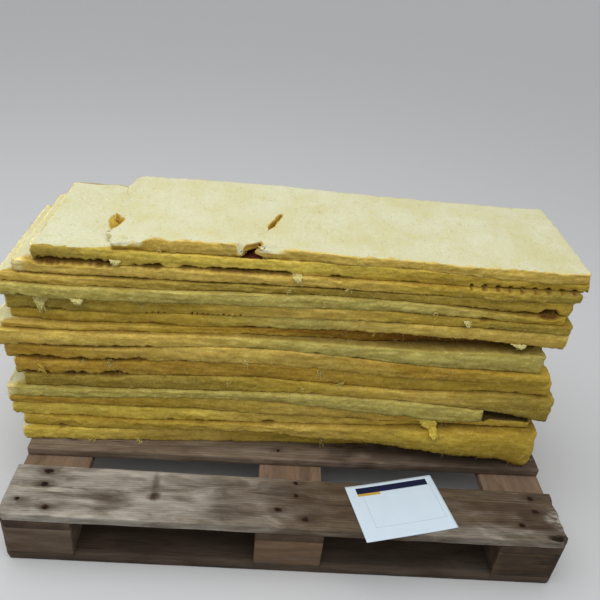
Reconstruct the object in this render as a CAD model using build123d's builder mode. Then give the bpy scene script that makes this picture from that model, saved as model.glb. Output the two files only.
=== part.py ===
"""A loose stack of flat glass wool slabs on a four-way wooden pallet, with a card on its front board.

Millimetres, +Z up. The origin is on the floor under the middle of the pallet, +X runs along the
long side of the pallet and -Y points to the side where the card lies.
"""

import os
from math import asin, degrees

from build123d import *

os.makedirs("parts", exist_ok=True)

# Pallet
pallet_length = 1200.0
pallet_width = 800.0
board_thickness = 22.0
block_height = 78.0
wide_board = 145.0
narrow_board = 100.0
front_board_width = 134.0
corner_cut = 10.0
skid_bevel = 9.0
second_board_slip = 0.14545
second_board_swing = 0.27923

# Glass wool slabs
slab_length = 1190.0
slab_width = 330.0
slab_thickness = 30.0
slab_corner_radius = 12.0
slab_clearance = 0.3

# Top slab: a bite torn out of its left end, and a slit torn in from its front edge
bite_depth = 32.0
bite_width = 72.0
bite_from_front = 48.0
bite_skew = 14.0
slit_mouth = 40.0
slit_length = 168.0
slit_lean = 54.0
slit_from_left = 300.0

# Card lying on the front board
card_length = 210.0
card_width = 148.0
card_thickness = 0.8
card_turn = 14.0
card_from_middle = 240.0
card_from_front = 70.0

skid_top = board_thickness
block_top = skid_top + block_height
cross_board_top = block_top + board_thickness
deck_top = cross_board_top + board_thickness
deck_gap = (pallet_width - 3 * wide_board - 2 * narrow_board) / 4
column_x = (pallet_length - wide_board) / 2
outer_row_y = (pallet_width - narrow_board) / 2


def keep(part, name):
    """Label one finished piece and write it."""
    part.label = name
    export_step(part, f"parts/{name}.step")


# The pallet's outline, with its four corners cut off through every layer
with BuildSketch() as footprint:
    Rectangle(pallet_length, pallet_width)
    chamfer(footprint.vertices(), corner_cut)

rows = (
    ("front", -outer_row_y, narrow_board),
    ("centre", 0, wide_board),
    ("back", outer_row_y, narrow_board),
)
columns = (("left", -column_x), ("middle", 0), ("right", column_x))
bay_length = column_x - wide_board

# Three skids on the floor, their upper edges bevelled between the blocks
for row, y, width in rows:
    with BuildPart() as skid:
        with Locations((0, y, board_thickness / 2)):
            Box(pallet_length, width, board_thickness)
        for bay_middle in (-column_x / 2, column_x / 2):
            with BuildSketch(Plane.YZ.offset(bay_middle)):
                for side in (-1, 1):
                    rim = y + side * width / 2
                    with BuildLine():
                        Polyline(
                            (rim, skid_top),
                            (rim - side * skid_bevel, skid_top),
                            (rim, skid_top - skid_bevel),
                            close=True,
                        )
                    make_face()
            extrude(amount=bay_length / 2, both=True, mode=Mode.SUBTRACT)
        extrude(footprint.sketch, amount=deck_top, mode=Mode.INTERSECT)
    keep(skid.part, f"skid_{row}")

# Nine blocks, three on each skid
for row, y, depth in rows:
    for column, x in columns:
        with BuildPart() as block:
            with Locations((x, y, skid_top + block_height / 2)):
                Box(wide_board, depth, block_height)
            extrude(footprint.sketch, amount=deck_top, mode=Mode.INTERSECT)
        keep(block.part, f"block_{row}_{column}")

# Three cross boards over the blocks, running from front to back
for column, x in columns:
    with BuildPart() as cross_board:
        with Locations((x, 0, block_top + board_thickness / 2)):
            Box(wide_board, pallet_width, board_thickness)
        extrude(footprint.sketch, amount=deck_top, mode=Mode.INTERSECT)
    keep(cross_board.part, f"cross_board_{column}")

# Five deck boards, wide and narrow in turn. The front one is worn narrow along its inner edge,
# and the second has slipped back and turned a little on its nails. Its slip, and the way that its
# right end has swung back, are shares of the gap between the boards.
second_board_turn = degrees(asin(2 * second_board_swing * deck_gap / pallet_length))
front_y = -(pallet_width - front_board_width) / 2
narrow_y = wide_board / 2 + deck_gap + narrow_board / 2
back_y = (pallet_width - wide_board) / 2
deck = (
    ("deck_board_front", front_y, front_board_width, 0),
    ("deck_board_second", -narrow_y + second_board_slip * deck_gap, narrow_board, second_board_turn),
    ("deck_board_centre", 0, wide_board, 0),
    ("deck_board_fourth", narrow_y, narrow_board, 0),
    ("deck_board_back", back_y, wide_board, 0),
)
for name, y, width, turn in deck:
    with BuildPart() as deck_board:
        with Locations(Location((0, y, cross_board_top + board_thickness / 2), (0, 0, turn))):
            Box(pallet_length, width, board_thickness)
        extrude(footprint.sketch, amount=deck_top, mode=Mode.INTERSECT)
    keep(deck_board.part, name)

# The slabs from the bottom up. Each row holds how far the slab's middle lies to the right, how much
# of its length is missing, where its front edge lies, its turn in degrees, and its thickness in
# percent of a new slab's at five stations from left to right, as the wool has bulged or settled.
stations = (-0.44, -0.06, 0.24, 0.42, 0.5)
slabs = (
    (-32, 0, -157, 3.4, (110, 167, 113, 87, 87)),
    (-22, 0, -184, -0.6, (90, 83, 200, 276, 266)),
    (-170, 250, -172, 0.3, (129, 110, 40, 13, 13)),
    (-45, 0, -177, 0.2, (76, 133, 60, 33, 27)),
    (-105, 120, -182, 0.0, (84, 73, 147, 87, 53)),
    (-8, 0, -175, -0.3, (112, 123, 100, 193, 217)),
    (-25, 0, -171, 0.4, (137, 137, 127, 123, 143)),
    (-40, 0, -176, -0.4, (120, 133, 117, 85, 87)),
    (-62, 0, -176, 0.3, (126, 80, 133, 155, 147)),
    (-66, 45, -156, 1.3, (46, 60, 93, 68, 77)),
    (-25, 0, -157, -0.8, (90, 103, 103, 125, 130)),
    (-26, 0, -159, -0.6, (125, 97, 87, 60, 63)),
    (-45, 0, -164, 0.5, (90, 90, 73, 60, 67)),
    (-35, 0, -155, 0.3, (69, 57, 77, 117, 117)),
    (-12, 20, -155, -0.4, (93, 87, 73, 77, 67)),
    (11, 47, -148, 0.2, (113, 100, 90, 60, 70)),
    (79, 192, -146, -0.2, (85, 82, 63, 85, 77)),
)
section_reach = 0.62 * slab_length
load_top = deck_top + 2 * slab_thickness * len(slabs)


def height(level, station):
    """Height of the joint over the given number of slabs, at one station along the stack."""
    percent = sum(row[4][station] for row in slabs[:level])
    return deck_top + slab_thickness * percent / 100


def joint_points(level, lift):
    """Points of the wavy joint over the given number of slabs."""
    points = [(share * slab_length, height(level, i) + lift) for i, share in enumerate(stations)]
    first = (-section_reach, points[0][1])
    last = (section_reach, points[-1][1])
    return [first, *points, last]


for count, (slide, missing, front, turn, bulge) in enumerate(slabs, start=1):
    length = slab_length - missing
    with BuildPart() as slab:
        with BuildSketch(Plane.XZ):
            with BuildLine():
                if count == 1:
                    under = Line((-section_reach, deck_top), (section_reach, deck_top))
                else:
                    under = Spline(*joint_points(count - 1, slab_clearance / 2), tangents=((1, 0), (1, 0)))
                over = Spline(*joint_points(count, -slab_clearance / 2), tangents=((1, 0), (1, 0)))
                Line(under @ 0, over @ 0)
                Line(under @ 1, over @ 1)
            make_face()
        extrude(amount=pallet_width, both=True)
        laid = Plane(Location((slide, front + slab_width / 2, 0), (0, 0, turn)))
        with BuildSketch(laid) as outline:
            Rectangle(length, slab_width)
            fillet(outline.vertices(), slab_corner_radius)
            if count == len(slabs):
                left, near = -length / 2, -slab_width / 2
                mouth = left + slit_from_left
                with BuildLine():
                    Polyline(
                        (mouth - slit_mouth / 2, near),
                        (mouth + slit_mouth / 2, near),
                        (mouth + slit_lean, near + slit_length),
                        close=True,
                    )
                make_face(mode=Mode.SUBTRACT)
                with BuildLine():
                    Polyline(
                        (left, near + bite_from_front),
                        (left + bite_depth, near + bite_from_front + bite_skew),
                        (left + bite_depth, near + bite_from_front + bite_width / 2),
                        (left, near + bite_from_front + bite_width),
                        close=True,
                    )
                make_face(mode=Mode.SUBTRACT)
        extrude(amount=load_top, mode=Mode.INTERSECT)
    keep(slab.part, f"slab_{count:02d}")

# The card lies across the front board and sticks out over both of its edges
card_place = (card_from_middle, -pallet_width / 2 + card_from_front, deck_top + card_thickness / 2)
with BuildPart() as card:
    with Locations(Location(card_place, (0, 0, card_turn))):
        Box(card_length, card_width, card_thickness)
keep(card.part, "card")
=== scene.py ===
"""The looks of a loose stack of glass wool slabs on a wooden pallet, in metres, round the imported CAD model."""

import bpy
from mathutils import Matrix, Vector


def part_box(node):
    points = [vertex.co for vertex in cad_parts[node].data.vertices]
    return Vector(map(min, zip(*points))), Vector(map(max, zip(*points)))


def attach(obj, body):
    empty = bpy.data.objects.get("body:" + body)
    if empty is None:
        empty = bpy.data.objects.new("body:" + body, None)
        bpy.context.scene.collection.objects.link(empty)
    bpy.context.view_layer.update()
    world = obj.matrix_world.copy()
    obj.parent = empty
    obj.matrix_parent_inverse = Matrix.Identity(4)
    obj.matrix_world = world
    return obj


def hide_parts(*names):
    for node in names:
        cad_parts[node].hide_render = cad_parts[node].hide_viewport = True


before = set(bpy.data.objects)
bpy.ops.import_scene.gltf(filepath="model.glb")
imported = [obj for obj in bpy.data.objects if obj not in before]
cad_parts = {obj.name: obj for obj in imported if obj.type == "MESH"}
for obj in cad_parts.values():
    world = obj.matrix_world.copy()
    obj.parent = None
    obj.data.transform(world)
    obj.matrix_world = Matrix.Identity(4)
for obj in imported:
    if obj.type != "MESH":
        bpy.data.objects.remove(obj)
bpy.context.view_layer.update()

import math
import random

import bmesh
import bpy
import numpy as np
from mathutils import Matrix, Vector, kdtree, noise
from mathutils.bvhtree import BVHTree

mm = 0.001

# Skids: three rough sawn softwood boards that lie flat on the floor and carry the pallet. They are grey and dirty
# from the floor, and forks have rubbed their long edges round.


def fed(tree, inputs, feed):
    """Feed a node's sockets with values or with other sockets."""
    for socket, value in feed.items():
        if isinstance(value, bpy.types.NodeSocket):
            tree.links.new(value, inputs[socket])
        else:
            inputs[socket].default_value = value


def wire(tree, kind, feed=None, **settings):
    """Add a shader node, set its options and feed its sockets."""
    made = tree.nodes.new("ShaderNode" + kind)
    for name, value in settings.items():
        setattr(made, name, value)
    fed(tree, made.inputs, feed or {})
    return made


def maths(tree, operation, *values):
    """One Math node's result."""
    return wire(tree, "Math", dict(enumerate(values)), operation=operation).outputs[0]


def weighed(tree, first, *others):
    """A sum of values, each times its weight."""
    total = maths(tree, "MULTIPLY", *first)
    for other in others:
        total = maths(tree, "ADD", total, maths(tree, "MULTIPLY", *other))
    return total


def mixed(tree, share, first, second, kind="MIX"):
    """Two colours mixed by a share."""
    return wire(tree, "Mix", {0: share, 6: first, 7: second}, data_type="RGBA", blend_type=kind).outputs[2]


def spanned(tree, value, low, high, start=0.0, end=1.0):
    """A value taken from one range to another, and held at its ends."""
    feed = {"Value": value, "From Min": low, "From Max": high, "To Min": start, "To Max": end}
    return wire(tree, "MapRange", feed).outputs[0]


def clouds(tree, vector, stretch, detail=3.0, roughness=0.55, distortion=0.0):
    """Noise from 0 to 1, with so many cells to the metre along each axis."""
    scaled = wire(tree, "VectorMath", {0: vector, 1: stretch}, operation="MULTIPLY").outputs[0]
    feed = {"Vector": scaled, "Scale": 1.0, "Detail": detail, "Roughness": roughness, "Distortion": distortion}
    return wire(tree, "TexNoise", feed).outputs[0]


def effect(name, inputs, outputs):
    """An empty node group with named sockets: (the group, its inputs, its output node)."""
    group = bpy.data.node_groups.new(name, "ShaderNodeTree")
    for label, kind in inputs.items():
        group.interface.new_socket(label, in_out="INPUT", socket_type="NodeSocket" + kind)
    for label in outputs:
        group.interface.new_socket(label, in_out="OUTPUT", socket_type="NodeSocketFloat")
    return group, group.nodes.new("NodeGroupInput").outputs, group.nodes.new("NodeGroupOutput").inputs


# Rings, fibres, drying checks and dirt of a sawn board whose grain runs along X
grain, given, result = effect(
    "sawn_grain",
    {"Vector": "Vector", "Pith Depth": "Float", "Ring Width": "Float"},
    ("Rings", "Fibre", "Streak", "Check", "Patch", "Height"),
)
wander = maths(grain, "SUBTRACT", clouds(grain, given["Vector"], (2.2, 5, 5), 2), 0.5)
sideways = {axis: maths(grain, "MULTIPLY", wander, far) for axis, far in (("Y", 0.05), ("Z", 0.03))}
bend = wire(grain, "CombineXYZ", sideways)
warped = wire(grain, "VectorMath", {0: given["Vector"], 1: bend.outputs[0]}, operation="ADD").outputs[0]
part = wire(grain, "SeparateXYZ", {0: warped}).outputs
climb = maths(grain, "MULTIPLY", part["X"], 0.035)
depth = maths(grain, "ADD", maths(grain, "ADD", part["Z"], given["Pith Depth"]), climb)
radius = maths(grain, "SQRT", weighed(grain, (part["Y"], part["Y"]), (depth, depth)))
turn = maths(grain, "MULTIPLY", maths(grain, "DIVIDE", radius, given["Ring Width"]), 2 * math.pi)
rings = maths(grain, "POWER", maths(grain, "MULTIPLY_ADD", maths(grain, "SINE", turn), 0.5, 0.5), 1.6)
fibre = clouds(grain, warped, (16, 520, 520), 4, 0.6)
streak = clouds(grain, warped, (1.5, 42, 42), 4, 0.6)
split = clouds(grain, warped, (1.3, 75, 75), 2, 0.5)
narrow = spanned(grain, maths(grain, "ABSOLUTE", maths(grain, "SUBTRACT", split, 0.5)), 0.0, 0.011, 1.0, 0.0)
where = spanned(grain, clouds(grain, given["Vector"], (3, 14, 14), 2), 0.5, 0.58)
check = maths(grain, "MULTIPLY", narrow, where)
patch = clouds(grain, given["Vector"], (7, 13, 13), 5, 0.6)
height = weighed(grain, (fibre, 0.8), (rings, 0.08), (streak, 0.6), (check, -1.5))
fed(grain, result, {"Rings": rings, "Fibre": fibre, "Streak": streak, "Check": check, "Patch": patch, "Height": height})


def new_finish(name):
    """A new material: (the material, its node tree, its shader's sockets)."""
    material = bpy.data.materials.new(name)
    material.use_nodes = True
    return material, material.node_tree, material.node_tree.nodes["Principled BSDF"].inputs


def toned(colour, share=1.0):
    """A wood colour made darker or paler, and no paler than dry bare wood."""
    return (*[min(c * share, 0.8) for c in colour], 1)


def timber_finish(name, pale, deep, grey, dirt_and_shade, grain_turn=0.0, pith=0.055, ring_width=0.0055):
    """Rough sawn softwood, silvered and stained where the piece's own attributes say; its stain attribute also holds
    patches of painted shade.
    """
    material, tree, shader = new_finish(name)
    place = wire(tree, "TexCoord").outputs["Object"]
    along = wire(tree, "Mapping", {"Vector": place, "Rotation": (0, 0, grain_turn)}).outputs[0]
    feed = {"Vector": along, "Pith Depth": pith, "Ring Width": ring_width}
    figure = wire(tree, "Group", feed, node_tree=grain).outputs
    shade = weighed(tree, (figure["Rings"], 0.16), (figure["Fibre"], 0.4), (figure["Streak"], 0.8))
    shade = spanned(tree, shade, 0.4, 0.95)
    wood = mixed(tree, shade, toned(pale), toned(deep))
    weather = clouds(tree, along, (9, 34, 34), 5, 0.62, 0.4)
    silver = wire(tree, "Attribute", attribute_name="silver").outputs["Fac"]
    uneven = spanned(tree, weighed(tree, (figure["Patch"], 0.75), (figure["Fibre"], 0.25)), 0.36, 0.56, 0.35, 1.05)
    silvered = mixed(tree, shade, toned(grey), toned(grey, 0.55))
    worn = mixed(tree, maths(tree, "MULTIPLY", silver, uneven), wood, silvered)
    rubbed = maths(tree, "MULTIPLY_ADD", silver, 0.7, 0.15)
    scuffed = maths(tree, "MULTIPLY", spanned(tree, weather, 0.53, 0.66, 0.0, 0.6), rubbed)
    worn = mixed(tree, scuffed, worn, toned(grey, 1.45))
    worn = mixed(tree, spanned(tree, weather, 0.36, 0.5, 0.6, 0.0), worn, toned(pale, 0.4))
    stain = wire(tree, "Attribute", attribute_name="stain").outputs["Fac"]
    spotted = spanned(tree, figure["Patch"], 0.35, 0.65, 0.75, 1.1)
    stained_and_shaded = mixed(tree, maths(tree, "MULTIPLY", stain, spotted), worn, toned(dirt_and_shade))
    stained_and_shaded = mixed(tree, spanned(tree, stain, 0.98, 1.15), stained_and_shaded, toned(dirt_and_shade, 0.25))
    cracked = mixed(tree, maths(tree, "MULTIPLY", figure["Check"], 0.85), stained_and_shaded, toned(dirt_and_shade, 0.3))
    roughness = spanned(tree, figure["Fibre"], 0.3, 0.7, 0.72, 0.95)
    bump = wire(tree, "Bump", {"Strength": 0.55, "Distance": 0.0012, "Height": figure["Height"]}).outputs[0]
    fed(tree, shader, {"Base Color": cracked, "Roughness": roughness, "Specular IOR Level": 0.25, "Normal": bump})
    return material


def placed(name, data):
    """A new object in the scene."""
    made = bpy.data.objects.new(name, data)
    bpy.context.scene.collection.objects.link(made)
    return made


def add_piece(solid, name, finish, slot_name, *stands_for, **paint):
    """Turn a bmesh into a piece of the object, with a value or a colour at each of its points for its finish."""
    mesh = bpy.data.meshes.new(name)
    solid.to_mesh(mesh)
    solid.free()
    mesh.polygons.foreach_set("use_smooth", [True] * len(mesh.polygons))
    mesh.materials.append(finish)
    for label, values in paint.items():
        values = np.asarray(values, np.float32)
        kind, field = ("FLOAT", "value") if values.ndim == 1 else ("FLOAT_COLOR", "color")
        mesh.attributes.new(label, kind, "POINT").data.foreach_set(field, values.ravel())
    piece = placed(name, mesh)
    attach(piece, "root")
    if stands_for:
        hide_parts(*stands_for)
    return piece


def smooth(value, low, high):
    """0 below low, 1 above high, and a soft step between."""
    share = min(max((value - low) / (high - low), 0.0), 1.0)
    return share * share * (3 - 2 * share)


def falling(value, low, high):
    """1 below low, 0 above high, and a soft step between."""
    return 1 - smooth(value, low, high)


def rough(x, y, z):
    """Even bumps at a point, from about -1 to 1."""
    return noise.noise(Vector((x, y, z)))


def cut_places(low, high, axis, step):
    """Points of the planes that divide a box evenly along one axis."""
    count = max(int(round((high[axis] - low[axis]) / step)), 1)
    for index in range(1, count):
        place = Vector(low)
        place[axis] += (high[axis] - low[axis]) * index / count
        yield place


def sliced(solid, low, high, steps):
    """Cut a whole bmesh at even steps along X, Y and Z."""
    for axis, step in enumerate(steps):
        normal = Vector((axis == 0, axis == 1, axis == 2))
        for place in cut_places(low, high, axis, step):
            everything = solid.verts[:] + solid.edges[:] + solid.faces[:]
            bmesh.ops.bisect_plane(solid, geom=everything, dist=1e-6, plane_co=place, plane_no=normal)


def timber(node, finish, slot_name, steps, wear=1.2 * mm, silver=0.3, marks=(), chips=()):
    """Dress one sawn piece: its CAD solid with rounded edges, sliced finely and worn uneven.
    silver is a share or a function of a point. marks are stains and patches of painted shade (x, y, reach along, reach
    across, strength), and chips are places where wood has broken away (x, y, z, reach, depth)."""
    solid = bmesh.new()
    solid.from_mesh(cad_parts[node].data)
    bmesh.ops.remove_doubles(solid, verts=solid.verts, dist=0.01 * mm)
    bmesh.ops.dissolve_limit(solid, angle_limit=math.radians(2), verts=solid.verts, edges=solid.edges)
    bmesh.ops.bevel(solid, geom=solid.edges[:], offset=2.2 * mm, segments=2, profile=0.5, affect="EDGES", material=-1)
    low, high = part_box(node)
    sliced(solid, low, high, steps)
    solid.normal_update()
    seed = Vector((sum(map(ord, node)) % 97, len(node), 0))
    silvers, stains = [], []
    for v in solid.verts:
        place = v.co.copy()
        edge = 1 - max(abs(c) for c in v.normal)
        rub = edge * 2.4 * (0.45 + noise.noise(place * 22 + seed) + 0.5 * noise.noise(place * 75 + seed))
        dent = 0.35 * noise.noise(Vector((place.x * 6, place.y * 45, place.z * 45)) + seed)
        inward = wear * (max(rub, -0.2) + dent)
        for x, y, z, reach, deep in chips:
            away = math.dist(place, (x, y, z)) / reach
            if away < 1:
                inward += deep * (1 - away * away) * (0.7 + 0.6 * noise.noise(place * 160 + seed))
        v.co -= v.normal * inward
        silvers.append(silver(place) if callable(silver) else silver)
        stain = 0.0
        for x, y, reach_x, reach_y, strength in marks:
            ripple = 0.35 * noise.noise(place * 30 + seed) + 0.2 * rough(place.x * 25, place.y * 140, 0)
            away = math.hypot((place.x - x) / reach_x, (place.y - y) / reach_y) + ripple
            stain = max(stain, strength * falling(away, 0.35, 1.0))
        stains.append(stain)
    return add_piece(solid, node + "_timber", finish, slot_name, node, silver=silvers, stain=stains)


skid_finish = timber_finish(
    "skid_softwood", (0.11, 0.074, 0.046), (0.05, 0.033, 0.021), (0.09, 0.078, 0.064), (0.02, 0.014, 0.01), pith=0.11
)
for row in ("front", "centre", "back"):
    timber("skid_" + row, skid_finish, "skid_wood", (16 * mm, 12 * mm, 7 * mm), silver=0.35)

# Blocks: nine short lengths of sawn softwood that stand between the skids and the cross boards, nailed through
# from both. They are darker at the right end of the pallet.
block_finish = timber_finish(
    "block_softwood", (0.25, 0.155, 0.085), (0.11, 0.066, 0.038), (0.2, 0.165, 0.13), (0.035, 0.024, 0.016),
    pith=0.02, ring_width=0.008,
)
column_x = 0.5275
dull_left = ((-column_x, -0.4, 0.16, 0.3, 0.3),)
dull_right = ((column_x, -0.4, 0.16, 0.3, 0.85), (0.6, -0.4, 0.06, 0.3, 0.98))
for row in ("front", "centre", "back"):
    for column, grey, dull in (("left", 0.55, dull_left), ("middle", 0.15, dull_left), ("right", 0.1, dull_right)):
        timber(f"block_{row}_{column}", block_finish, "block_wood", (10 * mm, 10 * mm, 9 * mm), silver=grey, marks=dull)

# Cross boards: three boards over the blocks, running from front to back under the deck. They show in the gaps
# between the deck boards and at their two ends.
cross_finish = timber_finish(
    "cross_softwood", (0.33, 0.21, 0.125), (0.17, 0.105, 0.066), (0.2, 0.17, 0.135), (0.04, 0.027, 0.018),
    grain_turn=math.radians(90),
)
for column, middle in (("left", -column_x), ("middle", 0), ("right", column_x)):
    ends = tuple((middle, end, 0.3, 0.035, 0.85) for end in (-0.405, 0.405))
    timber("cross_board_" + column, cross_finish, "board_wood", (10 * mm, 16 * mm, 8 * mm), silver=0.25, marks=ends)

# Deck boards: five boards nailed over the cross boards. The front one is silver grey at its left, brown at its
# right where it has stayed damp, and its right front corner is rotten and split. Nail heads bleed rust into the grain.
deck_finish = timber_finish(
    "deck_softwood", (0.16, 0.11, 0.063), (0.055, 0.037, 0.022), (0.47, 0.43, 0.37), (0.05, 0.027, 0.014)
)
front_nails = (
    (-530, -283), (-529, -319), (-570, -360), (-508, -379), (10, -278), (11, -314), (-30, -353), (31, -375),
    (547, -286), (547, -322), (504, -361),
)
rust_marks = tuple((x * mm + 0.004, y * mm, 0.034, 0.013, 0.6) for x, y in front_nails)
rust_marks += tuple((x * mm, y * mm, 0.012, 0.0095, 1.35) for x, y in front_nails)
damp_marks = (
    (-0.375, -0.352, 0.055, 0.042, 0.5), (-0.395, -0.375, 0.03, 0.02, 0.45), (-0.13, -0.348, 0.075, 0.034, 0.45),
    (-0.15, -0.375, 0.09, 0.02, 0.4), (-0.297, -0.3, 0.012, 0.05, 0.7), (-0.294, -0.335, 0.018, 0.018, 0.95),
    (0.06, -0.335, 0.16, 0.022, 0.6), (-0.02, -0.3, 0.08, 0.03, 0.55), (0.06, -0.36, 0.09, 0.018, 0.6),
    (0.16, -0.29, 0.2, 0.014, 0.5), (0.5, -0.31, 0.09, 0.02, 0.6), (0.54, -0.335, 0.06, 0.03, 0.85),
    (0.4, -0.315, 0.22, 0.02, 0.45), (-0.45, -0.275, 0.06, 0.012, 0.35), (0.585, -0.385, 0.035, 0.02, 0.9),
    (0.49, -0.355, 0.08, 0.012, 0.7), (0.2, -0.275, 0.25, 0.01, 0.45), (0.576, -0.389, 0.036, 0.012, 1.3),
    (0.55, -0.365, 0.05, 0.016, 0.9),
)


def silver_front(place):
    """How far the front board has silvered: most at its left, least at its right."""
    fade = falling(place.x + 0.12 * noise.noise(place * 6) + 0.3 * (place.y + 0.33), -0.26, 0.05)
    rim = 0.6 * smooth(-place.y, 0.36, 0.385) * smooth(place.x, 0.2, 0.3)
    knot = math.hypot(place.x - 0.59, 0.75 * (place.y + 0.343))
    swirl = (0.5 + 0.5 * math.sin(knot * 800)) * falling(knot, 0.018, 0.03)
    return max(0.08 + 0.92 * fade, rim, 1.3 * swirl)


rotten = (
    (0.562, -0.387, 0.144, 0.009, 7 * mm), (0.572, -0.39, 0.144, 0.01, 8 * mm), (0.583, -0.393, 0.144, 0.01, 8 * mm),
    (0.594, -0.396, 0.142, 0.011, 8 * mm), (0.598, -0.345, 0.14, 0.02, 4 * mm), (-0.598, -0.39, 0.144, 0.02, 2 * mm),
    (0.6, -0.3, 0.144, 0.016, 4 * mm), (0.6, -0.372, 0.144, 0.014, 4 * mm),
    (0.3, -0.4, 0.144, 0.05, 1.2 * mm), (-0.2, -0.4, 0.144, 0.08, 1.2 * mm), (0.05, -0.266, 0.144, 0.06, 2 * mm),
)
fine_steps = (7 * mm, 4.5 * mm, 4 * mm)
stains = rust_marks + damp_marks
timber("deck_board_front", deck_finish, "board_wood", fine_steps, 1.4 * mm, silver_front, stains, rotten)
second_finish = timber_finish(
    "second_softwood", (0.27, 0.185, 0.115), (0.09, 0.058, 0.036), (0.4, 0.34, 0.27), (0.04, 0.023, 0.014)
)
board_steps = (14 * mm, 8 * mm, 7 * mm)
nail_columns = (-0.55, -0.505, -0.022, 0.022, 0.505, 0.55)
deck_rows = {"second": (-0.182, -0.135), "centre": (-0.045, 0.045), "fourth": (0.14, 0.187), "back": (0.28, 0.37)}
deck_nails = {"front": [(x * mm, y * mm) for x, y in front_nails]}
for row, (near, far) in deck_rows.items():
    spots = [(x + 0.01 * math.sin(9 * i), near if i % 2 else far) for i, x in enumerate(nail_columns)]
    if row == "second":
        spots[2:4] = [(-0.031, -0.182), (0.02, -0.14)]
    deck_nails[row] = spots
    blots_and_shade = tuple((x, y, 0.03, 0.008, 0.8) for x, y in spots)
    # The second board's two wide dark patches at its right are painted shade under slab 2's overhang
    if row == "second":
        blots_and_shade += ((0.4, -0.17, 0.42, 0.09, 0.75), (0.6, -0.19, 0.2, 0.09, 0.5))
    finish, grey = (second_finish, 0.3) if row == "second" else (deck_finish, 0.6)
    timber("deck_board_" + row, finish, "board_wood", board_steps, silver=grey, marks=blots_and_shade)

rust, tree, shader = new_finish("rusty_iron")
scale = clouds(tree, wire(tree, "TexCoord").outputs["Object"], (600, 600, 600), 4)
iron = mixed(tree, scale, (0.009, 0.005, 0.004, 1), (0.03, 0.013, 0.008, 1))
roughness = spanned(tree, scale, 0.3, 0.7, 0.55, 0.9)
fed(tree, shader, {"Base Color": iron, "Roughness": roughness, "Specular IOR Level": 0.1})
deck_top = 144 * mm
for row, spots in deck_nails.items():
    heads = bmesh.new()
    for x, y in spots:
        place = Matrix.Translation((x, y, deck_top - 0.5 * mm))
        bmesh.ops.create_cone(
            heads, cap_ends=True, segments=14, radius1=4.6 * mm, radius2=3.6 * mm, depth=1.6 * mm, matrix=place
        )
    add_piece(heads, f"nail_heads_{row}", rust, None)

# Glass wool slabs: seventeen flat slabs of bonded glass fibre, sawn from a wider web and stacked loose. Their
# faces are a pale felt, and their cut edges show fibres in thin layers, from straw to olive and burnt orange.
wool, given, result = effect("wool_fibres", {"Vector": "Vector"}, ("Layers", "Felt", "Speck", "Hair", "Height"))
layers = clouds(wool, given["Vector"], (22, 22, 190), 4, 0.6, 0.6)
broad = clouds(wool, given["Vector"], (8, 8, 70), 3, 0.5, 0.6)
felt = clouds(wool, given["Vector"], (240, 240, 240), 4, 0.65)
lumps = clouds(wool, given["Vector"], (45, 45, 60), 3, 0.55)
cells = wire(wool, "TexVoronoi", {"Vector": given["Vector"], "Scale": 70.0})
tiny = spanned(wool, cells.outputs["Distance"], 0.06, 0.13, 1.0, 0.0)
chosen = spanned(wool, wire(wool, "SeparateColor", {0: cells.outputs["Color"]}).outputs[0], 0.8, 0.82)
speck = maths(wool, "MULTIPLY", tiny, chosen)
curls = clouds(wool, given["Vector"], (60, 60, 60), 1, 0.4, 2.2)
hair = spanned(wool, maths(wool, "ABSOLUTE", maths(wool, "SUBTRACT", curls, 0.5)), 0.0, 0.012, 1.0, 0.0)
layers = weighed(wool, (layers, 0.6), (broad, 0.4))
height = weighed(wool, (felt, 0.55), (lumps, 0.9))
fed(wool, result, {"Layers": layers, "Felt": felt, "Speck": speck, "Hair": hair, "Height": height})

glass_wool, tree, shader = new_finish("glass_wool")
place = wire(tree, "TexCoord").outputs["Object"]
fibres = wire(tree, "Group", {"Vector": place}, node_tree=wool).outputs
tone = wire(tree, "Attribute", attribute_name="tone").outputs["Color"]
cut = wire(tree, "Attribute", attribute_name="cut").outputs["Fac"]
hair = [maths(tree, "MULTIPLY", fibres["Hair"], share) for share in (0.3, 0.35)]

# The felt of a slab's two faces: cloudy, with painted shade in its pits, and with stained spots, pale threads and stray
# hairs
face = spanned(tree, clouds(tree, place, (9, 9, 9), 4, 0.6), 0.35, 0.7)
face = mixed(tree, face, (0.765, 0.775, 0.565, 1), (0.69, 0.66, 0.37, 1))
for share, colour in (
    (spanned(tree, fibres["Felt"], 0.35, 0.65, 0.35, 0.0), (0.5, 0.43, 0.16, 1)),
    (spanned(tree, clouds(tree, place, (34, 34, 34), 4, 0.6), 0.57, 0.72, 0.0, 0.6), (0.66, 0.6, 0.24, 1)),
    (spanned(tree, clouds(tree, place, (120, 20, 60), 4, 0.7), 0.5, 0.7, 0.0, 0.16), (0.86, 0.86, 0.68, 1)),
    (hair[0], (0.82, 0.81, 0.6, 1)),
):
    face = mixed(tree, share, face, colour)

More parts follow.
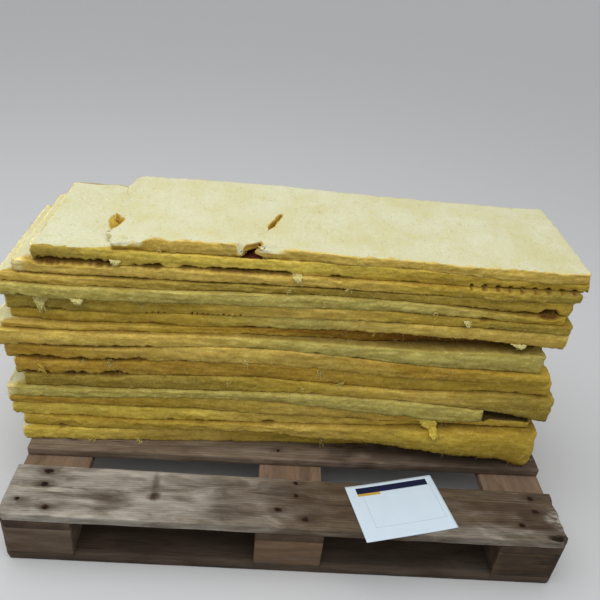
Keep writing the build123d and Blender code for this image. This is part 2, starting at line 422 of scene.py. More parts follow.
# The cut edges: the slab's own tone, tinted layer by layer and in dark and pale flecks, with painted shade in the
# felt's pits
mottle = clouds(tree, place, (60, 60, 95), 4, 0.6)
side = mixed(tree, 1.0, tone, (0.72, 0.66, 0.5, 1), "MULTIPLY")
for share, tint in (
    (spanned(tree, fibres["Layers"], 0.36, 0.64), (1.22, 1.23, 1.2, 1)),
    (spanned(tree, mottle, 0.3, 0.52, 0.55, 0.0), (0.66, 0.56, 0.36, 1)),
    (spanned(tree, mottle, 0.54, 0.7, 0.0, 0.4), (1.32, 1.36, 1.6, 1)),
    (spanned(tree, fibres["Felt"], 0.3, 0.62, 0.5, 0.0), (0.6, 0.5, 0.35, 1)),
):
    side = mixed(tree, share, side, mixed(tree, 1.0, tone, tint, "MULTIPLY"))
side = mixed(tree, hair[1], side, (0.78, 0.72, 0.36, 1))
frayed = spanned(tree, maths(tree, "MULTIPLY_ADD", maths(tree, "SUBTRACT", fibres["Felt"], 0.5), 0.9, cut), 0.35, 0.65)
both = mixed(tree, frayed, face, side)
both = mixed(tree, maths(tree, "MULTIPLY", fibres["Speck"], 0.55), both, (0.16, 0.08, 0.02, 1))
ridges = maths(tree, "MULTIPLY", fibres["Layers"], maths(tree, "MULTIPLY", cut, 1.1))
height = maths(tree, "ADD", fibres["Height"], ridges)
bump = wire(tree, "Bump", {"Strength": 0.6, "Distance": 0.0022, "Height": height}).outputs[0]
fed(tree, shader, {"Base Color": both, "Roughness": 0.95, "Specular IOR Level": 0.05, "Normal": bump})

# umber is painted shade: the deep brown of slab 10's recess under slab 11 and of faces that show under a neighbour
tones = {
    "cream": (0.8, 0.75, 0.34), "straw": (0.72, 0.54, 0.13), "khaki": (0.56, 0.41, 0.065),
    "olive": (0.42, 0.325, 0.065), "green": (0.58, 0.51, 0.15), "bright": (0.8, 0.64, 0.12),
    "rust": (0.53, 0.345, 0.055), "brown": (0.31, 0.165, 0.02), "umber": (0.2, 0.1, 0.016),
}
tone_places = (-0.52, -0.26, 0.0, 0.26, 0.5)
# Slab 10's umber right part is painted shade in its recess under slab 11
slab_tones = (
    "bright straw khaki khaki khaki", "khaki khaki straw khaki khaki", "bright bright straw khaki khaki",
    "rust khaki straw rust khaki", "green green green green green", "olive olive khaki straw olive",
    "rust rust rust khaki khaki", "rust straw straw rust khaki", "straw straw green green green",
    "straw khaki brown umber umber", "khaki khaki green straw straw", "olive khaki straw khaki olive",
    "green green green green khaki", "straw olive olive olive khaki", "straw straw straw khaki olive",
    "olive bright bright khaki khaki", "rust straw straw straw straw",
)
# Where two slabs gape along the front: the number of slabs below, where the gap starts and ends, and its depth
gapes = (
    (15, -0.56, -0.385, 1.1), (15, -0.375, -0.29, 0.85), (15, -0.275, -0.03, 0.75), (15, 0.03, 0.07, 0.8),
    (12, -0.595, -0.57, 0.8), (2, 0.2, 0.5, 0.35), (3, 0.1, 0.35, 0.35),
    (14, -0.11, -0.08, 0.7), (12, 0.36, 0.385, 0.6), (11, 0.38, 0.405, 0.6), (7, -0.62, -0.32, 0.75),
    (6, -0.61, -0.36, 0.85), (8, -0.61, -0.3, 0.5), (1, -0.54, -0.51, 0.8), (2, -0.08, -0.04, 0.8),
    (10, 0.04, 0.52, 0.3), (4, 0.4, 0.6, 0.5), (13, 0.475, 0.54, 1.5), (1, -0.13, -0.03, 0.8), (3, -0.55, -0.2, 0.35),
    (11, -0.6, -0.5, 0.4), (14, -0.6, 0.3, 0.3), (13, 0.3, 0.55, 0.45),
)
# Rows of small holes: the number of slabs below, where the row starts and ends, its depth, and the holes' spacing
beads = ((15, 0.33, 0.58, 1.4, 27 * mm), (11, -0.24, -0.13, 0.75, 11 * mm), (11, -0.34, -0.29, 0.65, 13 * mm))
pale_tips = {5: 30 * mm, 15: 34 * mm, 13: 12 * mm, 9: 14 * mm}


def slab_blank(node, spacing, rows, margins, upper_step):
    """A prism one metre tall over the slab's outline in plan: (the bmesh, its rim as points and outward normals)."""
    blank = bmesh.new()
    blank.from_mesh(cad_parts[node].data)
    bmesh.ops.remove_doubles(blank, verts=blank.verts, dist=0.01 * mm)
    blank.normal_update()
    bmesh.ops.delete(blank, geom=[f for f in blank.faces if f.normal.z < 0.5], context="FACES")
    inner = [e for e in blank.edges if not e.is_boundary]
    bmesh.ops.delete(blank, geom=blank.faces[:], context="FACES_ONLY")
    bmesh.ops.delete(blank, geom=inner, context="EDGES")
    bmesh.ops.delete(blank, geom=[v for v in blank.verts if not v.link_edges], context="VERTS")
    for v in blank.verts:
        v.co.z = 0
    bmesh.ops.remove_doubles(blank, verts=blank.verts, dist=1.2 * mm)
    for edge in blank.edges[:]:
        cuts = int(edge.calc_length() / spacing)
        if cuts:
            bmesh.ops.subdivide_edges(blank, edges=[edge], cuts=cuts)
    edge_points, foot = blank.verts[:], blank.edges[:]
    loop = foot
    for _ in range(rows):
        made = bmesh.ops.extrude_edge_only(blank, edges=loop)["geom"]
        risen = {g for g in made if isinstance(g, bmesh.types.BMVert)}
        bmesh.ops.translate(blank, verts=list(risen), vec=(0, 0, 1 / rows))
        loop = [g for g in made if isinstance(g, bmesh.types.BMEdge) and g.verts[0] in risen and g.verts[1] in risen]
    cap = blank.faces.layers.int.new("cap")
    lids = [(kind, bmesh.ops.edgeloop_fill(blank, edges=edges)["faces"]) for kind, edges in ((1, loop), (2, foot))]
    bmesh.ops.recalc_face_normals(blank, faces=blank.faces)
    rim = []
    for v in edge_points:
        walls = [f.normal for f in v.link_faces if abs(f.normal.z) < 0.5]
        rim.append((v.co.copy(), sum(walls, Vector()).normalized()))
    for kind, lid in lids:
        for margin in margins:
            bmesh.ops.inset_region(blank, faces=lid, thickness=margin, use_even_offset=False, use_boundary=True)
        for f in lid:
            f[cap] = kind
    low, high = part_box(node)
    for kind, step in ((1, upper_step), (2, covered_step)):
        for axis in (0, 1):
            normal = Vector((axis == 0, axis == 1, 0))
            for place in cut_places((low.x, low.y, 0), high, axis, step):
                facets = [f for f in blank.faces if f[cap] == kind]
                around = {e for f in facets for e in f.edges}
                points = {v for f in facets for v in f.verts}
                bmesh.ops.bisect_plane(
                    blank, geom=list(points) + list(around) + facets, dist=1e-6, plane_co=place, plane_no=normal
                )
    bmesh.ops.triangulate(blank, faces=[f for f in blank.faces if f[cap] and len(f.verts) > 4])
    bmesh.ops.recalc_face_normals(blank, faces=blank.faces)
    return blank, rim


def between(value, rise_from, rise_to, fall_from, fall_to):
    """A soft step up to 1 and down to 0 again."""
    return smooth(value, rise_from, rise_to) * falling(value, fall_from, fall_to)


def blend(first, second, share):
    """Two plain colours mixed by a share."""
    return [(1 - share) * a + share * b for a, b in zip(first, second)]


def heights_of(node):
    """Heights of a slab's lower and upper face along the stack, read from its CAD solid."""
    solid = BVHTree.FromObject(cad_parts[node], bpy.context.evaluated_depsgraph_get())
    low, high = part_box(node)
    line = low.y + 0.72 * (high.y - low.y)
    found = []
    for x in np.linspace(low.x + 5 * mm, high.x - 5 * mm, 90):
        under = solid.ray_cast(Vector((x, line, low.z - 1)), Vector((0, 0, 1)))[0]
        over = solid.ray_cast(Vector((x, line, high.z + 1)), Vector((0, 0, -1)))[0]
        if under and over:
            found.append((x, under.z, over.z))
    return np.array(found).T


def gape(level, place):
    """How far the joint over that many slabs gapes here, from 0 to about 1."""
    wide = 0.4 * rough(place.x * 22, place.y * 22, level * 5.3)
    wide += 0.3 * rough(place.x * 85, place.y * 85, level * 3.1)
    if place.y < -0.1:
        for joint, start, end, depth in gapes:
            if joint == level and start < place.x < end:
                ramp = min(22 * mm, 0.4 * (end - start))
                torn = 0.85 + 0.6 * rough(place.x * 24, level, 0.5) + 0.5 * rough(place.x * 110, level, 2.5)
                wide = max(wide, depth * between(place.x, start, start + ramp, end - ramp, end) * torn)
        for joint, start, end, depth, spacing in beads:
            if joint == level and start < place.x < end:
                phase = 2 * math.pi * place.x / spacing + 2 * rough(place.x * 15, level, 0.5)
                torn = 0.75 + 0.5 * rough(place.x * 40, level, 6.5)
                wide = max(wide, depth * torn * max(math.sin(phase), 0))
    return max(wide, 0.0)


# How the cut edges are torn: bumps to the metre along and up, their depth, and 1 where each slab has its own
tears = (
    (7, 0, 4 * mm, 1), (38, 70, 2 * mm, 1), (14, 110, 1.8 * mm, 1), (120, 150, 1.4 * mm, 0), (290, 330, 0.9 * mm, 0),
)
# slot_shade_brown is painted shade in the slots between slabs, and slit_shade_maroon is painted shade in the hole under
# the top slab's slit
pale_fluff_and_light, slot_shade_brown, slit_shade_maroon = (0.93, 0.84, 0.42), (0.26, 0.12, 0.022), (0.1, 0.02, 0.012)
# wedge_shade_brown is painted shade on slab 4's upper face at the right end
wedge_shade_brown = (0.13, 0.09, 0.035)
# How far in from the edge a slab is torn and its lips are pressed, and how deep its slots are
torn_reach, lip_reach, slot_depth = 26 * mm, 11 * mm, 12 * mm
# The lowest slab whose upper face shows, and the mesh steps of a face that shows and of one that is covered
shown_from, shown_step, covered_step = 16, 8 * mm, 60 * mm
# The top slab in plan: its slit, the pieces of felt that hang over its front edge beside it, and its bite
slit_start, slit_reach, slit_lean, slit_half = Vector((-0.12, -0.146)), 168 * mm, 54 * mm, 20 * mm
slit_side, tongue_x, lobe_x = 48 * mm, -0.1465, -0.079
bite_left, bite_right, bite_near, bite_far = -0.417, -0.38, -0.105, -0.02


def slit_shift(x, y, rise, out):
    """How the top slab's two sides lean on each other over the middle of its slit, so that only the mouth and a pit
    at the far end stay open: (the move along X, the drop, how shut it is, how deep in a hole)."""
    inside = (y - slit_start.y) / slit_reach
    middle, half = slit_start.x + slit_lean * inside, slit_half * (1 - inside)
    beside = abs(x - middle) - half
    if not (-0.05 < inside < 1.05 and beside < slit_side):
        return 0.0, 0.0, 0.0, 0.0
    right_side = x > middle
    low_mouth = falling(inside, 0.16, 0.26) * falling(rise, 0.3, 0.42)
    shut = between(inside, 0.01, 0.26 if right_side else 0.14, 0.5, 0.6) * (1 - low_mouth)
    move = shut * (half + 3 * mm) + (0.3 * half + 2.5 * mm) * between(inside, 0.5, 0.6, 0.9, 1.0)
    drop = 3 * mm * rise * between(inside, 0.1, 0.2, 0.5, 0.6) * falling(beside, 0.0, 16 * mm)
    if right_side:
        lean = 0.9 * half * smooth(rise, 0.0, 0.5) * (1 - 0.4 * smooth(rise, 0.6, 1.0)) * falling(inside, 0.0, 0.3)
        move, drop = -max(move, lean), 0.0
    hole = (falling(inside, 0.1, 0.2) + 0.6 * smooth(inside, 0.52, 0.62)) * (abs(out.x) > 0.5)
    return move * falling(beside, 0.0, slit_side), drop, shut, hole


def wool_slab(number):
    """Dress one slab: its blank follows the CAD solid's wavy faces, with torn, layered edges."""
    node = f"slab_{number:02d}"
    top_slab, shown = number == len(slab_tones), number >= shown_from
    blank, rim = slab_blank(node, 2.8 * mm, 10, (2 * mm, 3 * mm, 5 * mm), shown_step if shown else covered_step)
    rim_tree = kdtree.KDTree(len(rim))
    for index, (point, _) in enumerate(rim):
        rim_tree.insert(point, index)
    rim_tree.balance()
    xs, unders, overs = heights_of(node)
    left_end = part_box(node)[0].x
    seed = number * 17.3
    colours = [tones[name] for name in slab_tones[number - 1].split()]
    pale_tip = pale_tips.get(number, 7 * mm)
    tone, cut = [], []
    for v in blank.verts:
        x, y, rise = v.co
        upper_face = rise > 0.999
        lid = upper_face or rise < 0.001
        _, index, away = rim_tree.find(Vector((x, y, 0)))
        out = rim[index][1]
        front, back = out.y < -0.5, out.y > 0.5

        # The plain height, the torn edge, and the slots where neighbours gape; at the right of the front, slab 2
        # swells and slab 10 is pushed in
        under, over = np.interp(x, xs, unders), np.interp(x, xs, overs)
        place = Vector((x, y, under + rise * (over - under)))
        lost = sum(deep * rough(x * far, y * far, place.z * up + own * seed) for far, up, deep, own in tears)
        ragged = rough(x * 34, y * 34, seed + 2)
        upper, lower = smooth(rise, 0.6 + 0.3 * ragged, 0.96), 0.8 * smooth(1 - rise, 0.6 + 0.3 * ragged, 0.97)
        open_above, open_below = gape(number, place), gape(number - 1, place)
        notch = 0.6 * open_above * smooth(rise, 0.97 - 0.15 * open_above, 0.99)
        notch += open_below * smooth(1 - rise, 0.96 - 0.32 * open_below, 0.985)
        if top_slab and x < -0.2:
            lost += 7 * mm * rough(x * 55, y * 55, 9) * smooth(-x, 0.2, 0.26)
        bulge = 0.8 * mm * (1 - (2 * rise - 1) ** 2) - 2 * mm
        if number == 2 and front:
            bulge += 10 * mm * smooth(x, 0.2, 0.4) * math.sin(math.pi * (0.15 + 0.75 * rise))
        push = bulge - lost - slot_depth * notch
        if number == 10 and front:
            push -= 15 * mm * smooth(x, 0.1, 0.3)

        # The top slab's slit and bite, and the way in which its points move there
        move, drop, shut, hole = slit_shift(x, y, rise, out) if top_slab else (0.0, 0.0, 0.0, 0.0)
        place.z -= drop
        fade = falling(away, 0.0, torn_reach)
        bitten = top_slab and bite_left < x < bite_right and bite_near < y < bite_far
        if top_slab:
            beside_bite = fade * falling(x, -0.385, -0.36)
            place.y += 11 * mm * beside_bite * between(y, -0.08, -0.055, -0.03, 0.01)
            place.x -= 9 * mm * beside_bite * between(y, -0.11, -0.085, -0.06, -0.03) * smooth(x, -0.415, -0.395)
        lead = out
        if top_slab and (y - slit_start.y) / slit_reach < 0.6 and abs(x - slit_start.x) < 90 * mm:
            lead_reach = away + 12 * mm
            around = rim_tree.find_range(Vector((x, y, 0)), lead_reach)
            weights = [lead_reach - gap for _, _, gap in around]
            lead = sum((w * rim[i][1] for w, (_, i, _) in zip(weights, around)), Vector()) / sum(weights)
        place.x += lead.x * push * fade + move
        place.y += lead.y * push * fade

        # Lips that press shut or lift, at the right end most of all: slab 2's sags and slab 4's is raised. Then the
        # soft hollows in the faces, and felt that flows over the front edge
        near = falling(away, 0.0, lip_reach)
        pressed = 1.6 * mm * max(rough(place.x * 26, place.y * 26, seed + 4) - 0.02, 0) - 0.1 * mm
        place.z += near * (pressed * lower - pressed * upper)
        place.z += 3 * mm * near * (open_below * lower - open_above * upper)
        if number == 2 and front:
            place.z -= 21 * mm * smooth(place.x, 0.48, 0.55) * (1 - rise) * near
            place.x -= 9 * mm * smooth(place.x, 0.53, 0.57) * (0.3 + 0.7 * rise)
        if number == 4:
            place.z += 9 * mm * rise * smooth(x, 0.435, 0.45) * falling(away, 0.0, 40 * mm)
        if upper_face and shown:
            soft = 2.2 * rough(place.x * 9, place.y * 9, seed) + 0.8 * rough(place.x * 42, place.y * 42, seed)
            soft += 0.5 * rough(place.x * 120, place.y * 120, seed)
            place.z += soft * mm * (1 - near * 0.6)
        if top_slab:
            lifted = falling(place.x, -0.1, -0.04) * smooth(-place.y, 0.02, 0.15) * smooth(place.x, -0.4, -0.3)
            place.z += lifted * (2.5 * mm + 3 * mm * rough(place.x * 12, place.y * 12, 3))
            feather = smooth(-place.x, 0.385, 0.425) * (0.75 + 0.5 * rough(place.x * 60, place.y * 60, 4))
            torn_end = smooth(-x + 0.012 * rough(0, place.y * 30, 2), 0.325, 0.357)
            flow = max(
                (0.36 + 0.2 * rough(x * 35, 5, 2)) * torn_end,
                0.7 * falling(abs(x - tongue_x), 3 * mm, 10 * mm),
                0.36 * falling(abs(x - lobe_x), 2 * mm, 38 * mm),
            )
            droop = flow * falling(y - slit_start.y, 0.0, 26 * mm)
            place.z -= (over - under) * rise * max(droop, 0.45 * feather)
            place.x += 16 * mm * falling(x, -0.42, -0.36) * smooth(-y, 0.09, 0.135)
        v.co = place
        x, y, z = v.co

        # The tone: the slab's own along its length, with a painted highlight high on each cut edge and painted shade
        # low down.
        # Slots and holes are browned with painted shade, rust on the top slab, and its torn left end is rust low down.
        # It is pale at torn tips and on felt, and pale on faces turned to the left, a painted light from that side.
        # Slab 10 has a khaki foot at its left, and is khaki at the back.
        spot = np.interp(x + 0.05 * rough(x * 8, z * 30, seed), tone_places, range(len(tone_places)))
        first = min(int(spot), len(colours) - 2)
        plain = blend(colours[first], colours[first + 1], spot - first)
        if number == 10:
            foot = smooth(1 - rise, 0.25, 0.95) * falling(x, -0.05, 0.15)
            plain = tones["khaki"] if back else blend(plain, tones["khaki"], foot)
        # A painted highlight high on the cut edge, painted shade low down and in the slots, and random mottling
        painted_light_and_mottle = 1 + 0.34 * (rise - 0.5) - 0.35 * min(notch, 1.0) + 0.16 * rough(x * 20, y * 20, z * 60 + seed)
        # Slots and holes are browned as painted shade
        shade_and_rust = min(1.2 * notch + hole, 1.0)
        # Faces turned to the left are painted pale, a painted light from that side; the torn tips are pale felt
        tip = x - left_end + 7 * mm * rough(0, y * 60, z * 90)
        pale = 0.0 if x > -0.38 else max(smooth(-out.x, 0.4, 0.85), falling(tip, 0.3 * pale_tip, pale_tip))
        if top_slab:
            felted = smooth(flow + 0.15 * ragged, 0.1, 0.3) * (front and not bitten)
            pale = max(pale, felted * smooth(rise + 0.3 * ragged, 0.45, 0.75), shut * smooth(rise, 0.8, 1))
            shade_and_rust = max(shade_and_rust, torn_end * falling(rise, 0.3, 0.6) * front)
        pale *= 1 - min(2 * notch, 1.0)
        if bitten:
            shade_and_rust, pale = 1.0, 0.0
        paint = blend(blend(plain, tones["rust"] if top_slab else slot_shade_brown, shade_and_rust), pale_fluff_and_light, pale)
        paint = [max(painted_light_and_mottle, 0.1) * c for c in paint]

        # How far the cut edge's look reaches in on the two faces, and the faces that show under a neighbour, given
        # painted shade
        if shown:
            strip = 0.0 if top_slab else 12 * mm * smooth(x, -0.46, -0.38)
            torn = max(0.6 + 2.2 * rough(x * 55, y * 55, 8), 0.0)
            reach = (1.2 * mm * torn + strip, (1 + 8 * torn + 5 * abs(ragged)) * mm + 1.6 * strip)
        else:
            reach = (14 * mm * (1 + 0.7 * ragged), 34 * mm * (1 + 0.7 * ragged))
        if hole > 0 or bitten:
            reach = (0.5 * mm, (4 + 5 * abs(ragged)) * mm)
        elif out.x < -0.6:
            reach = (1 * mm, 6 * mm)
        edge = 1 - 0.2 * pale
        if top_slab and front:
            edge *= 1 - 0.7 * felted * smooth(rise, 0.6, 0.85)
        elif top_slab and hole == 0 and not bitten:
            edge = min(edge, 0.45)
        edge *= 1 - shut * smooth(rise, 0.85, 1)
        # Painted shade on slab 16's upper face in the pit under the top slab's bite, darkest towards its right wall,
        # and in the hole under its slit
        shaded_bite_floor = shaded_slit_floor = 0.0
        if upper_face and shown and not top_slab:
            across, along = (x + 0.411 + 0.25 * (y + 0.03)) / (24 * mm), (y + 0.03) / (54 * mm)
            shaded_bite_floor = falling(math.hypot(across, along), 0.55, 1.15)
            shaded_slit_floor = float(abs(x + 0.122) < 0.022 and -0.143 < y < -0.09)
        if shaded_bite_floor:
            paint = blend(tones["khaki"], slot_shade_brown, smooth(across - along, -0.6, 1.0))
        if shaded_slit_floor:
            paint = slit_shade_maroon
        # Painted shade on the strip of upper face that shows under the slab above: duller, and browner away from the
        # edge, most on slab 9 under slab 10's recess
        if lid and front and pale < 0.2 and not shown:
            deep = smooth(away, 1 * mm, 16 * mm) * (0.85 if number == 9 else 0.4)
            paint = blend([0.9 * c for c in paint], tones["umber"], deep)
        if lid and top_slab and pale < 0.2 and not bitten and hole == 0:
            paint = blend(paint, pale_fluff_and_light, 0.35)
        # Slab 4's upper face at its right end gets painted shade where it shows under the slabs above
        if upper_face and (number == 4 and x > 0.36 or number == 1 and back):
            edge, reach = 1.0, (60 * mm, 90 * mm)
            paint = wedge_shade_brown if number == 4 else paint
        if upper_face and number == 9 and x > 0.0 and front:
            edge, reach = 1.0, (80 * mm, 120 * mm)
        tone.append((*paint, 1.0))
        cut.append(max(shaded_bite_floor, shaded_slit_floor, edge * falling(away, *reach) if lid else edge))
    add_piece(blank, node + "_wool", glass_wool, "glass_wool", node, tone=tone, cut=cut)


for number in range(1, len(slab_tones) + 1):
    wool_slab(number)

# Loose fibres: short strands that stand out of the cut edges and lie on the top, and tufts and torn flakes that
# hang where a slab was pulled over its neighbour.
chance = random.Random(1631)


def hit(origin, direction):
    """The point and normal where a line first meets the load."""
    view = bpy.context.evaluated_depsgraph_get()
    place, direction = Vector(origin), Vector(direction)
    found = True
    while found:
        found, place, normal, _, thing, _ = bpy.context.scene.ray_cast(view, place, direction)
        if found and thing.name.endswith("_wool"):
            return place, normal
        place = place + direction * 0.3 * mm
    return None


def add_strand(curve, start, heading, length, thickness, curl, droop=0.0):
    """One fibre: a thin bent line that leaves the wool at start."""
    spline = curve.splines.new("POLY")
    joints = 4
    spline.points.add(joints)
    place, heading = Vector(start), Vector(heading).normalized()
    for index, point in enumerate(spline.points):
        point.co = (*place, 1)
        point.radius = thickness * (1 - 0.55 * index / joints)
        place = place + heading * length / joints
        swing = Vector([chance.uniform(-curl, curl) for _ in range(3)])
        heading = (heading + swing + Vector((0, 0, -droop))).normalized()


def add_strands(curve, name, pale):
    """Make the curve's fibres one mesh piece."""
    line = placed(name, curve)
    mesh = bpy.data.meshes.new_from_object(line.evaluated_get(bpy.context.evaluated_depsgraph_get()))
    bpy.data.objects.remove(line)
    solid = bmesh.new()
    solid.from_mesh(mesh)
    count = len(solid.verts)
    return add_piece(solid, name, glass_wool, "glass_wool", tone=[(*pale, 1)] * count, cut=[1.0] * count)


def fibre_curve(name):
    """An empty curve whose lines are 0.5 mm thick."""
    curve = bpy.data.curves.new(name, "CURVE")
    curve.dimensions = "3D"
    curve.bevel_depth = 0.25 * mm
    curve.bevel_resolution = 0
    return curve


sides = (
    ("front", 2600, (0, 1, 0)), ("back", 1200, (0, -1, 0)), ("left", 450, (1, 0, 0)), ("right", 450, (-1, 0, 0)),
    ("top", 500, (0, 0, -1)),
)
for side, count, towards in sides:
    fuzz = fibre_curve("fuzz_" + side)
    for _ in range(count):
        origin = Vector((chance.uniform(-0.65, 0.6), chance.uniform(-0.19, 0.19), chance.uniform(0.15, 0.655)))
        for axis in range(3):
            if towards[axis]:
                origin[axis] = -towards[axis]
        found = hit(origin, towards)
        if not found:
            continue
        place, normal = found
        lie = Vector((chance.uniform(-1, 1), chance.uniform(-1, 1), chance.uniform(-0.5, 0.5)))
        lie = (lie - normal * lie.dot(normal)).normalized()
        heading = lie + normal * chance.uniform(0.1, 0.8)
        length, thickness = chance.uniform(5, 18) * mm, chance.uniform(0.6, 1.6)
        add_strand(fuzz, place - normal * mm, heading, length, thickness, curl=0.55, droop=0.05)
    add_strands(fuzz, "fuzz_" + side, (0.74, 0.64, 0.24))

# Tufts on the front: place along the stack, height, reach, and how many strands
tufts = (
    (-392, 602, 16, 40), (-546, 488, 24, 60), (-477, 509, 22, 34), (-343, 513, 12, 26), (-29, 607, 20, 50),
    (76, 606, 16, 24), (80, 590, 20, 26), (-40, 572, 12, 20), (36, 550, 12, 20), (150, 474, 8, 12),
    (268, 551, 14, 26), (338, 532, 14, 28), (-557, 345, 18, 24), (-466, 362, 14, 20), (-413, 366, 22, 34),
    (-122, 400, 18, 24), (-154, 334, 12, 24), (43, 377, 22, 30), (95, 352, 20, 34), (7, 331, 16, 22),
    (153, 381, 7, 10), (179, 405, 7, 12), (198, 341, 8, 12), (-458, 150, 20, 20), (-358, 150, 22, 24),
    (67, 158, 26, 30), (192, 165, 20, 20), (-303, 640, 16, 8), (461, 482, 16, 40), (300, 255, 18, 18),
)
tuft_curve = fibre_curve("tufts")
for x, z, reach, count in tufts:
    found = hit((x * mm, -1, z * mm), (0, 1, 0))
    if not found:
        continue
    place, normal = found
    lean = Vector((chance.uniform(-1, 1), -0.3, chance.uniform(-1, 0.2)))
    for _ in range(count):
        start = place + Vector([chance.uniform(-0.3, 0.3) * reach * mm for _ in range(3)])
        heading = lean + Vector([chance.uniform(-0.4, 0.4) for _ in range(3)])
        length, thickness = chance.uniform(0.3, 0.8) * reach * mm, chance.uniform(1.6, 5)
        add_strand(tuft_curve, start, heading, length, thickness, curl=1.3, droop=0.3)
add_strands(tuft_curve, "tufts", (0.76, 0.66, 0.24))

# Torn flakes on the front: place along the stack, height, width, drop, lean to the right, and tone
flakes = (
    (-546, 518, 30, 26, -0.1, "cream"), (-470, 526, 26, 12, 0.3, "cream"), (-29, 612, 20, 16, 0.3, "cream"),
    (461, 489, 32, 8, 0.9, "cream"), (301, 268, 44, 36, 0.75, "bright"), (-392, 612, 22, 12, 0.0, "cream"),
    (-560, 358, 10, 30, 0.5, "khaki"), (338, 538, 16, 14, 0.2, "cream"),
)
scraps = bmesh.new()
scrap_tone = []
for x, z, width, drop, lean, tone_name in flakes:
    found = hit((x * mm, -1, (z - 4) * mm), (0, 1, 0))
    if not found:
        continue
    place, _ = found
    known = len(scraps.verts)
    bmesh.ops.create_grid(scraps, x_segments=18, y_segments=18, size=0.5)
    scraps.verts.ensure_lookup_table()
    for v in scraps.verts[known:]:
        across, down = v.co.x, 0.5 - v.co.y
        ragged = 1 + 0.4 * rough(across * 4, down * 4, x * 0.1) + 0.25 * rough(across * 11, down * 11, x * 0.1)
        narrow = 1 - 0.85 * max(down, 0) ** 1.2
        puff = 3 * mm * rough(across * 3, down * 3, x * 0.2) + 2 * mm * rough(across * 9, down * 9, x * 0.3)
        along = across * width * mm * ragged * narrow + lean * down * drop * mm
        spot = place + Vector((along, 0, -down * drop * mm * ragged))
        behind = hit((spot.x, -1, spot.z), (0, 1, 0))
        spot.y = min(spot.y, behind[0].y if behind else spot.y) - 2 * mm - 4 * mm * math.sin(down * 2.2) + puff
        v.co = spot
    scrap_tone += [(*tones[tone_name], 1.0)] * (len(scraps.verts) - known)
scrap_cut = [1.0] * len(scraps.verts)


def thicken(sheet, thickness):
    """Give a sheet its thickness, half of it to each side."""
    shell = sheet.modifiers.new("thickness", "SOLIDIFY")
    shell.thickness, shell.offset = thickness, 0


thicken(add_piece(scraps, "torn_flakes", glass_wool, "glass_wool", tone=scrap_tone, cut=scrap_cut), 2.6 * mm)

# Card: a sheet of thin white board that lies across the front deck board, with a dark band, a short amber strip
# and a thin grey frame printed on it. Its corners have curled a little.
card_length, card_width = 210 * mm, 148 * mm
card_place = Vector((0.24, -0.33, deck_top))
card_turn = math.radians(14)
card_paint, tree, shader = new_finish("printed_card")
flat = wire(tree, "SeparateXYZ", {0: wire(tree, "UVMap", uv_map="flat").outputs[0]}).outputs


def printed(left, right, bottom, top):
    """A mask of one printed rectangle, in shares of the card."""
    inside = []
    for axis, start, end in (("X", left, right), ("Y", bottom, top)):
        past, short = maths(tree, "GREATER_THAN", flat[axis], start), maths(tree, "LESS_THAN", flat[axis], end)
        inside.append(maths(tree, "MULTIPLY", past, short))
    return maths(tree, "MULTIPLY", *inside)


line_x, line_y = 0.0035, 0.0049
frame_inner = printed(0.157 + line_x, 0.94 - line_x, 0.21 + line_y, 0.83 - line_y)
frame_line = maths(tree, "SUBTRACT", printed(0.157, 0.94, 0.21, 0.83), frame_inner)
board = spanned(tree, clouds(tree, wire(tree, "TexCoord").outputs["Object"], (30, 30, 30), 4), 0.3, 0.7)
white = mixed(tree, board, (0.73, 0.87, 1.0, 1), (0.7, 0.84, 0.98, 1))
inked = mixed(tree, maths(tree, "MULTIPLY", frame_line, 0.55), white, (0.25, 0.28, 0.36, 1))
inked = mixed(tree, printed(0.105, 0.36, 0.79, 0.84), inked, (0.62, 0.4, 0.06, 1))
inked = mixed(tree, printed(0.105, 0.92, 0.835, 0.945), inked, (0.012, 0.016, 0.055, 1))
roughness = spanned(tree, board, 0, 1, 0.5, 0.62)
fed(tree, shader, {"Base Color": inked, "Roughness": roughness, "Specular IOR Level": 0.12})
card = bmesh.new()
bmesh.ops.create_grid(card, x_segments=42, y_segments=30, size=0.5)
flat_map = card.loops.layers.uv.new("flat")
for f in card.faces:
    for corner in f.loops:
        corner[flat_map].uv = (corner.vert.co.x + 0.5, corner.vert.co.y + 0.5)
for v in card.verts:
    across, up = v.co.x, v.co.y
    curl = 3.0 * mm * max(0, abs(across) * 2 - 0.55) ** 2 + 1.6 * mm * max(0, abs(up) * 2 - 0.6) ** 2
    bow = 0.6 * mm * (1 - math.cos(across * 5 + up * 2))
    v.co = Vector((across * card_length, up * card_width, 0.5 * mm + curl + bow))
bmesh.ops.transform(card, matrix=Matrix.Translation(card_place) @ Matrix.Rotation(card_turn, 4, "Z"), verts=card.verts)
thicken(add_piece(card, "card_sheet", card_paint, "card", "card"), 0.5 * mm)

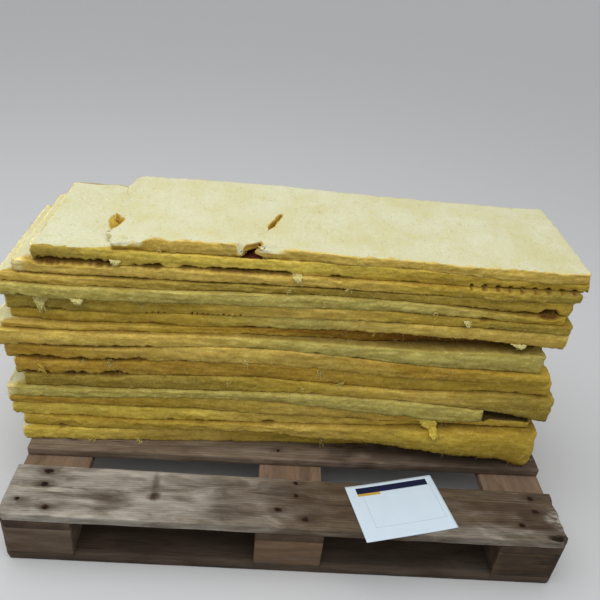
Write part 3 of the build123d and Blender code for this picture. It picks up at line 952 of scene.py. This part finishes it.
# Floor, light and camera: a plain pale floor, a wide soft lamp overhead and an even room, and the camera where the
# photograph was taken, tilted down and a little turned on its own axis.
floor = bmesh.new()
bmesh.ops.create_grid(floor, x_segments=8, y_segments=8, size=40)
floor_paint, tree, shader = new_finish("pale_floor")
direct = wire(tree, "LightPath").outputs["Is Camera Ray"]
fed(tree, shader, {"Base Color": mixed(tree, direct, (0.4, 0.4, 0.4, 1), (0.7, 0.71, 0.72, 1)), "Roughness": 0.7})
floor_mesh = bpy.data.meshes.new("floor")
floor.to_mesh(floor_mesh)
floor.free()
floor_mesh.materials.append(floor_paint)
floor_object = placed("floor", floor_mesh)

room = bpy.data.worlds.new("room")
bpy.context.scene.world = room
room.use_nodes = True
tree = room.node_tree
tree.nodes.clear()
seen = wire(tree, "LightPath").outputs
shown = maths(tree, "MAXIMUM", seen["Is Camera Ray"], seen["Is Glossy Ray"])
glow = wire(tree, "Background", {"Color": (1, 1, 1, 1), "Strength": 0.52}).outputs[0]
wall = wire(tree, "Background", {"Color": (0.68, 0.69, 0.7, 1), "Strength": 1.0}).outputs[0]
both = wire(tree, "MixShader", {0: shown, 1: glow, 2: wall}).outputs[0]
wire(tree, "OutputWorld", {"Surface": both})

lamp_light = bpy.data.lights.new("overhead", "AREA")
lamp_light.shape = "RECTANGLE"
lamp_light.size, lamp_light.size_y = 3.2, 2.6
lamp_light.energy = 46
lamp = placed("overhead", lamp_light)
lamp.location = (-0.55, -0.55, 2.9)
lamp.rotation_euler = (Vector((0, 0, 0.3)) - lamp.location).to_track_quat("-Z", "Y").to_euler()

camera_place = Vector((-0.10042, -1.26635, 1.24947))
camera_yaw, camera_pitch, camera_roll = 0.0742, 0.5601, 0.114
focal_pixels, photo_pixels, sensor = 638.2447, 600, 36
level = Vector((math.cos(camera_yaw), -math.sin(camera_yaw), 0))
forward = Vector((math.sin(camera_yaw), math.cos(camera_yaw), 0))
ahead = forward * math.cos(camera_pitch) - Vector((0, 0, math.sin(camera_pitch)))
upright = level.cross(ahead)
right = math.cos(camera_roll) * level + math.sin(camera_roll) * upright
up = -math.sin(camera_roll) * level + math.cos(camera_roll) * upright
lens = bpy.data.cameras.new("camera")
lens.sensor_width = sensor
lens.lens = focal_pixels / photo_pixels * sensor
camera = placed("camera", lens)
camera.matrix_world = Matrix.Translation(camera_place) @ Matrix((right, up, -ahead)).transposed().to_4x4()
bpy.context.scene.camera = camera
bpy.context.scene.view_settings.view_transform = "Standard"
